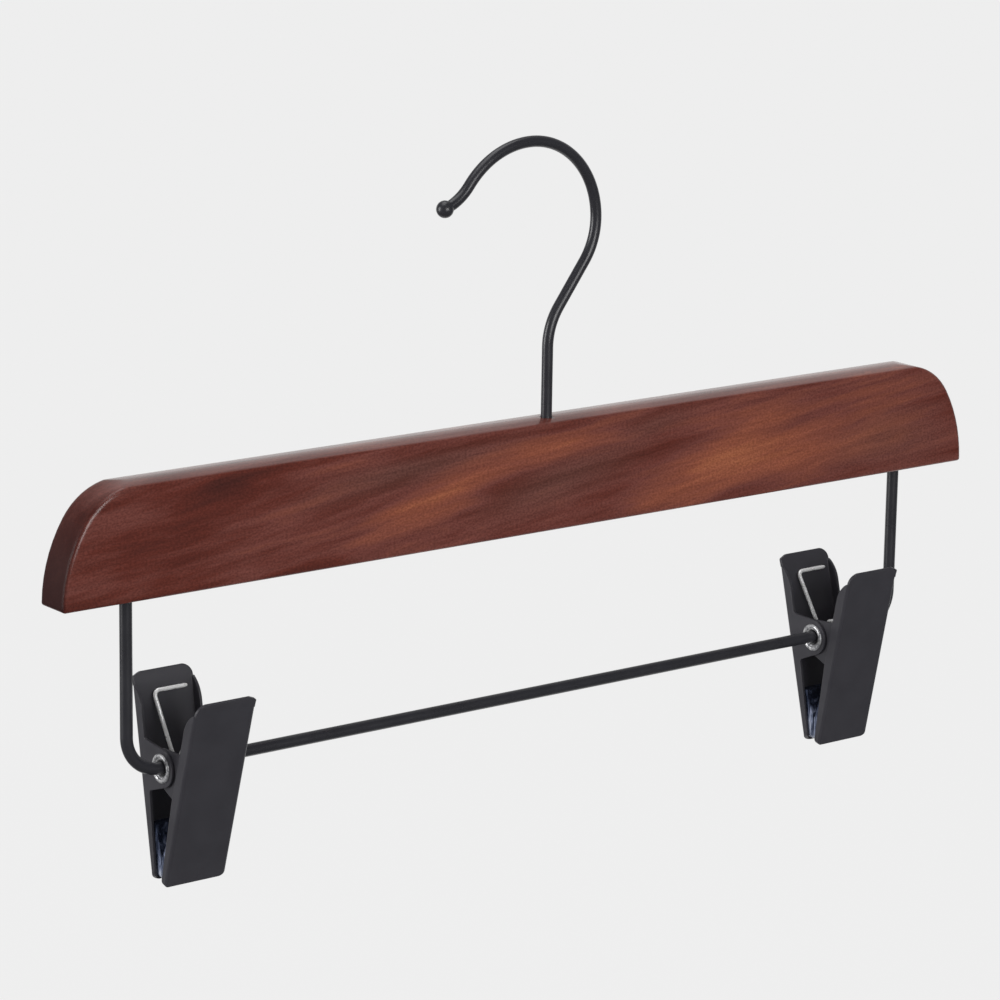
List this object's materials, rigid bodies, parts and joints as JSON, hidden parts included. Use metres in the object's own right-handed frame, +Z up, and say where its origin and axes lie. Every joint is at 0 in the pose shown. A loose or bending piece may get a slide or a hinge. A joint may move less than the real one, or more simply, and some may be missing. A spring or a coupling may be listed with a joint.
{
  "type": "skirt hanger",
  "caption": "Skirt hanger: flat wooden bar with rounded ends, swivelling wire hook, and a wire rail below that carries sliding sprung metal clips",
  "frame": {"origin": "the hook seat: the inside top of the hook, where the hanger rests on a clothes rail", "axes": "+X along the wooden bar, +Y to the back (the front jaws and the hook's face look to -Y), +Z up"},
  "size_m": [0.36, 0.0389, 0.2189],
  "materials": {
    "stained_wood": "stained and lacquered, glossy",
    "black_wire": "black, smooth satin gloss",
    "black_sheet": "black, high gloss",
    "zinc_steel": "zinc plated",
    "bright_steel": "bright nickel plated",
    "soft_pad": "translucent blue-grey soft plastic"
  },
  "bodies": {
    "hanger": {"wood_bar": "stained_wood", "hook_washer": "zinc_steel", "clip_rail": "black_wire"},
    "hook": {"hook": "black_wire", "hook_nut": "zinc_steel"},
    "left_slider": {"left_rivet": "bright_steel"},
    "left_back": {"left_back_jaw": "black_sheet", "left_back_pad": "soft_pad", "left_spring": "bright_steel"},
    "left_front": {"left_front_jaw": "black_sheet", "left_front_pad": "soft_pad"},
    "right_slider": {"right_rivet": "bright_steel"},
    "right_back": {"right_back_jaw": "black_sheet", "right_back_pad": "soft_pad", "right_spring": "bright_steel"},
    "right_front": {"right_front_jaw": "black_sheet", "right_front_pad": "soft_pad"}
  },
  "joints": [
    {"name": "hook_swivel", "type": "hinge", "parent": "hanger", "child": "hook", "pos_m": [0.00789, 0, -0.08694], "axis": [0, 0, 1], "continuous": true},
    {"name": "left_clip_slide", "type": "slide", "parent": "hanger", "child": "left_slider", "axis": [1, 0, 0], "range_m": [0, 0.118]},
    {"name": "left_clip_swing", "type": "hinge", "parent": "left_slider", "child": "left_back", "pos_m": [-0.12666, 0, -0.17792], "axis": [1, 0, 0], "continuous": true},
    {"name": "left_clip_open", "type": "hinge", "parent": "left_back", "child": "left_front", "pos_m": [-0.12666, 0, -0.17792], "axis": [-1, 0, 0], "range_deg": [0, 60], "stiffness_Nm_per_rad": 0.15, "springref_deg": -57.3, "deforming": ["left_spring"]},
    {"name": "right_clip_slide", "type": "slide", "parent": "hanger", "child": "right_slider", "axis": [1, 0, 0], "range_m": [-0.118, 0]},
    {"name": "right_clip_swing", "type": "hinge", "parent": "right_slider", "child": "right_back", "pos_m": [0.13604, 0, -0.17792], "axis": [1, 0, 0], "continuous": true},
    {"name": "right_clip_open", "type": "hinge", "parent": "right_back", "child": "right_front", "pos_m": [0.13604, 0, -0.17792], "axis": [-1, 0, 0], "range_deg": [0, 60], "stiffness_Nm_per_rad": 0.15, "springref_deg": -57.3, "deforming": ["right_spring"]}
  ]
}
